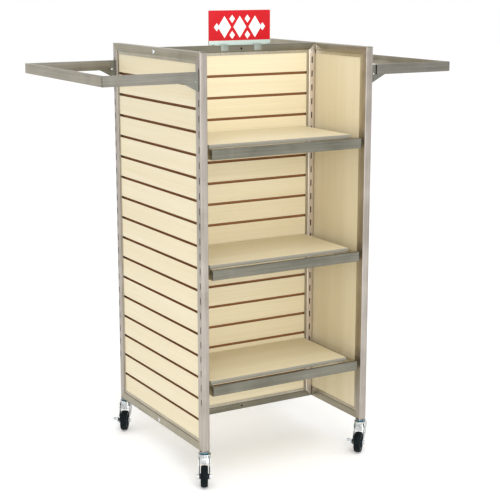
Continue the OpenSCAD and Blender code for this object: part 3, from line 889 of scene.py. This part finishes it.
shelf_back = standard_box[0].y - PLATE_GAP
for level in ("upper", "middle", "lower"):
    low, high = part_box(level + "_shelf_frame")
    arm_x, front, top = high.x - PLATE, low.y, high.z
    bar_start = Vector((-arm_x, front, top - BAR_TALL))
    front_box = (bar_start, Vector((arm_x, front + BAR_THICK, top)))
    arm_box = (bar_start, Vector((BAR_THICK - arm_x, shelf_back, top)))
    front_bar = tube(level + "_front_bar", front_box, X, (UNIT[Y], UNIT[Y]), BAR_CORNER)
    dress(front_bar, shelf_bar_painted_reflection)
    arm = tube(level + "_arm", arm_box, Y, (UNIT[X], None), BAR_CORNER)
    slot_middle = (-arm_x, front + ARM_SLOT_BACK, top - BAR_TALL / 2)
    cut(arm, slot_cutter(ARM_SLOT_TALL, ARM_SLOT_WIDE, 4 * TUBE_WALL, slot_middle, X))
    dress(arm, shelf_arm_painted_reflection)
    parts = [front_bar, arm, mirrored(arm, level + "_right_arm", X)]
    for step in range(1, STRAP_COUNT + 1):
        strap_y = front + step * (shelf_back - front) / (STRAP_COUNT + 1)
        strap_x = arm_x - BAR_THICK
        strap = eased_block(
            (-strap_x, strap_y, top - STRAP_THICK), (strap_x, strap_y + STRAP_WIDE, top)
        )
        dress(strap, shelf_bar_painted_reflection)
        parts.append(strap)
    for side in (-1, 1):
        hook = cut_plate(level + "_hook_plate", HOOK_PLATE, PLATE)
        hook.rotation_euler = (0, 0, -math.pi / 2)
        hook.location = (side * (arm_x + PLATE / 2), standard_box[0].y, top)
        fix(hook)
        dress(hook, shelf_arm_painted_reflection)
        parts.append(hook)
    shelf = joined(level + "_shelf_rail", parts)
    bpy.ops.object.shade_smooth_by_angle(angle=SMOOTH_ANGLE)
    stand_for(shelf, level + "_shelf", "satin_nickel", level + "_shelf_frame")


# ---- Shelf boards ----
# A loose 12.7 mm maple board lies on each shelf frame, a little to the left. A grey plastic
# band covers its cut edges, and every arris is eased.
BAND_THICK = 0.9 * MM
ARRIS = 0.8 * MM


def banded_finish(name, low, high):
    """Maple laminate with the grain along the shelf, and a grey band round the edges."""
    finish = Finish(name, Coat_Weight=0.15, Coat_Roughness=0.3)
    wood, grain = maple(finish, Y, X)
    band_grain = finish.noise([9.0, 9.0, 500.0], 3.0)
    band = finish.mixed(band_grain, paint(128, 124, 110), paint(158, 154, 140))
    across, along = finish.axis(Y), finish.axis(X)
    on_front = across < low.y + BAND_THICK
    on_sides = abs(along - (low.x + high.x) / 2) > (high.x - low.x) / 2 - BAND_THICK
    finish.feed("Base Color", finish.mixed(on_front + on_sides, wood, band))
    finish.feed("Roughness", 0.42 + grain * 0.08)
    finish.relief(grain, 0.00003)
    return finish.material


shelf_board_finish = banded_finish("shelf_board_maple", *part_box("upper_shelf_board"))
for level in ("upper", "middle", "lower"):
    board = eased_block(*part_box(level + "_shelf_board"), ARRIS)
    board.name = board.data.name = level + "_maple_board"
    dress(board, shelf_board_finish)
    stand_for(board, level + "_board", "maple_shelf", level + "_shelf_board")


# ---- Hangrails ----
# A U of the same flat tube stands out from each end frame for hangers. A gusseted plate goes
# into the open end of each arm, and its two hooks drop into the post's slots.
# The arms and the cross bar are one satin nickel plate. The cross bar is painted lighter and the
# arms darker, as painted reflection.
hangrail_arm_painted_reflection = brushed_nickel(
    "hangrail_arms_nickel", X, paint(152, 149, 140), paint(106, 103, 95)
)
hangrail_end_painted_reflection = brushed_nickel(
    "hangrail_ends_nickel", Y, paint(172, 166, 150), paint(124, 118, 104)
)
bracket_finish = brushed_nickel(
    "brackets_nickel", Z, paint(150, 150, 140), paint(104, 105, 97)
)

low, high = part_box("left_hangrail_bar")
cross_box = (low, Vector((low.x + BAR_THICK, high.y, high.z)))
cross = tube("cross_bar", cross_box, Y, (UNIT[X], UNIT[X]), BAR_CORNER)
dress(cross, hangrail_end_painted_reflection)
arm_box = (low, Vector((high.x, low.y + BAR_THICK, high.z)))
arm = tube("front_arm", arm_box, X, (UNIT[Y], None), BAR_CORNER)
dress(arm, hangrail_arm_painted_reflection)
hangrail = joined("left_hangrail_tube", [cross, arm, mirrored(arm, "rear_arm", Y)])
bpy.ops.object.shade_smooth_by_angle(angle=SMOOTH_ANGLE)
hangrails = {"left": hangrail, "right": mirrored(hangrail, "right_hangrail_tube", X)}
for side, piece in hangrails.items():
    stand_for(piece, side + "_hangrail", "satin_nickel", side + "_hangrail_bar")
    for end in ("front", "rear"):
        dress(nodes[f"{side}_{end}_bracket"], bracket_finish)


# ---- Sign ----
# A red card with a plain white pattern of lozenges drops into an aluminium holder, which two
# spring clips hold on the centre top rail.
CARD_CORNER = 2.5 * MM
CARD_ARRIS = 0.4 * MM
STRIP_ARRIS = 0.4 * MM
LARGE_LOZENGES = [(-62, 0), (0, 0), (62, 0)]
SMALL_LOZENGES = [(-31, 28), (-31, -28), (31, 28), (31, -28), (-93, 0), (93, 0)]

sign_low, sign_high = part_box("sign_card")
card = block(sign_low, sign_high)
pick_edges_along(Y)
bpy.ops.mesh.bevel(offset=CARD_CORNER, segments=5, affect="EDGES")
bpy.ops.object.mode_set(mode="OBJECT")
modify(
    card, "BEVEL", width=CARD_ARRIS, segments=2, limit_method="ANGLE",
    angle_limit=math.radians(60),
)
bpy.ops.object.shade_smooth_by_angle(angle=SMOOTH_ANGLE)
card.name = card.data.name = "red_sign_card"

print_finish = Finish("printed_card", Specular_IOR_Level=0.2)
card_x = print_finish.axis(X)
card_z = print_finish.axis(Z) - (sign_low.z + sign_high.z) / 2
ink = 0.0
for places, wide, tall in ((LARGE_LOZENGES, 26, 38), (SMALL_LOZENGES, 11, 14)):
    for x, z in places:
        reach = abs(card_x - x * MM) / (wide * MM) + abs(card_z - z * MM) / (tall * MM)
        ink = (reach < 1.0) + ink
mottle = print_finish.noise([60.0] * 3, 4.0)
red = print_finish.mixed(mottle, paint(184, 12, 24), paint(200, 22, 34))
white = print_finish.mixed(mottle, paint(226, 236, 234), paint(240, 246, 244))
print_finish.feed("Base Color", print_finish.mixed(ink, red, white))
print_finish.feed("Roughness", 0.35 + mottle * 0.1)
dress(card, print_finish.material)
stand_for(card, "sign", "sign_card", "sign_card")

holder_finish = Finish("holder_aluminium", Metallic=0.5)
holder_grain = holder_finish.noise([5.0, 700.0, 700.0], 3.0)
holder_finish.feed(
    "Base Color", holder_finish.mixed(holder_grain, paint(176, 192, 184), paint(204, 218, 210))
)
holder_finish.feed("Roughness", 0.3 + holder_grain * 0.15)
holder = eased("sign_holder_strip", "sign_holder", STRIP_ARRIS)
dress(holder, holder_finish.material)
stand_for(holder, "frame", "sign_metal", "sign_holder")
clip_finish = brushed_nickel("clips_spring_steel", X, paint(170, 176, 168), paint(134, 140, 132))
clips = eased("sign_spring_clips", "sign_clips", STRIP_ARRIS)
dress(clips, clip_finish)
stand_for(clips, "frame", "sign_metal", "sign_clips")


# ---- Studio ----
# A pale seamless floor, a soft white surround, two large soft lights and a camera.
WHITE = (1, 1, 1, 1)
FLOOR_SIZE = 40
LIGHT_TARGET = (0, 0, 0.8)
CAMERA_PLACE = (-2.2514, -3.9568, 1.722)
CAMERA_DOWN = math.radians(12.307)
CAMERA_TURN = math.radians(-30.104)
CAMERA_LENS = 91.13
SENSOR_WIDTH = 36


def softbox(name, place, wide, tall, power):
    """A soft rectangular light that points at the middle of the unit."""
    light = bpy.data.lights.new(name, "AREA")
    light.shape = "RECTANGLE"
    light.size = wide
    light.size_y = tall
    light.energy = power
    stand = bpy.data.objects.new(name, light)
    bpy.context.scene.collection.objects.link(stand)
    stand.location = place
    aim = Vector(LIGHT_TARGET) - Vector(place)
    stand.rotation_euler = aim.to_track_quat("-Z", "Y").to_euler()


bpy.ops.object.select_all(action="DESELECT")
bpy.ops.mesh.primitive_plane_add(size=FLOOR_SIZE)
floor = bpy.context.object
floor.name = "studio_floor"
paper = Finish("floor_paper", Roughness=0.8, Emission_Strength=0.12, Emission_Color=WHITE)
paper_clouds = paper.noise([3.0] * 3)
paper.feed(
    "Base Color", paper.mixed(paper_clouds, (0.93, 0.93, 0.93, 1), (0.95, 0.95, 0.95, 1))
)
dress(floor, paper.material)

world = bpy.data.worlds.new("studio_surround")
bpy.context.scene.world = world
world.use_nodes = True
surround = world.node_tree.nodes["Background"]
surround.inputs["Color"].default_value = WHITE
surround.inputs["Strength"].default_value = 1.0
softbox("top_softbox", (-1.0, -2.5, 5.0), 4.0, 4.0, 50)
softbox("front_softbox", (-1.2, -5.2, 2.1), 2.6, 2.2, 110)

bpy.context.scene.view_settings.view_transform = "Standard"
camera_data = bpy.data.cameras.new("camera")
camera_data.lens = CAMERA_LENS
camera_data.sensor_width = SENSOR_WIDTH
camera = bpy.data.objects.new("camera", camera_data)
bpy.context.scene.collection.objects.link(camera)
camera.location = CAMERA_PLACE
camera.rotation_euler = (math.pi / 2 - CAMERA_DOWN, 0, CAMERA_TURN)
bpy.context.scene.camera = camera
